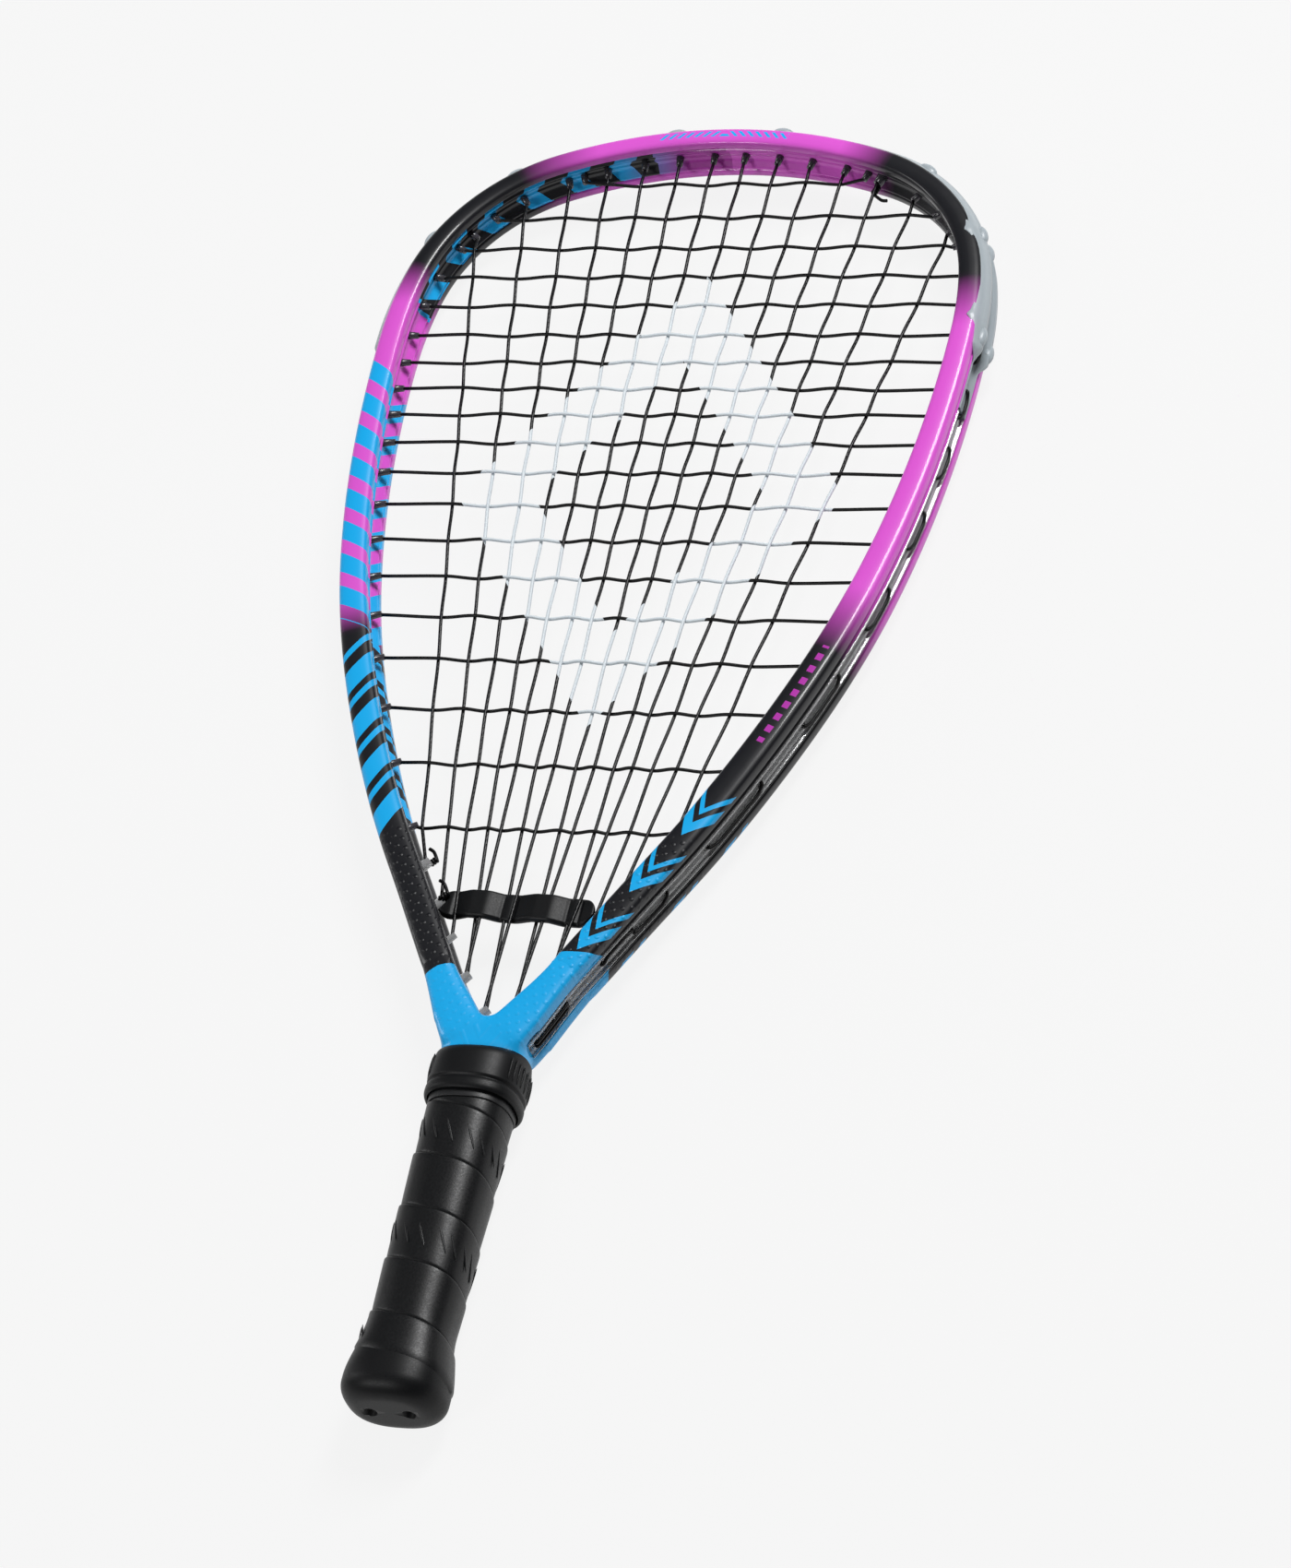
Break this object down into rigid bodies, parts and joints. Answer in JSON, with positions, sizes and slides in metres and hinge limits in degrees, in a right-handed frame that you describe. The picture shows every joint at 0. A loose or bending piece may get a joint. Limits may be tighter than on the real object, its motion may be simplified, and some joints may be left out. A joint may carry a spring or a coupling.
{
  "type": "racquetball racket",
  "caption": "Teardrop racquetball racket: moulded hoop and throat, woven string bed, clear bumper guard and grommet strips, rubber-wrapped grip",
  "frame": {"origin": "middle of the butt's flat end face", "axes": "+X across the head to the right in the picture, +Y from the butt to the head, +Z out of the front face of the string bed"},
  "size_m": [0.2488, 0.5588, 0.033],
  "materials": {
    "painted_frame": "glossy lacquer over a moulded fibre hoop: fuchsia crown and left side, black sides, sky blue throat and bands",
    "clear_plastic": "translucent grey moulded plastic, smooth",
    "black_string": "black synthetic string with a slight sheen",
    "black_rubber": "satin black rubber",
    "dark_foam": "matt moulded foam, hidden under the grip",
    "black_tape": "thin black tape with a low sheen"
  },
  "bodies": {
    "root": {"frame": "painted_frame", "bumper_guard": "clear_plastic", "left_grommet_strip": "clear_plastic", "right_grommet_strip": "clear_plastic", "main_string": "black_string", "cross_string": "black_string", "string_damper": "black_rubber", "pallet_front": "dark_foam", "pallet_back": "dark_foam", "butt_cap": "black_rubber", "grip_wrap": "black_rubber", "finishing_tape": "black_tape", "grip_collar": "black_rubber"}
  },
  "joints": []
}
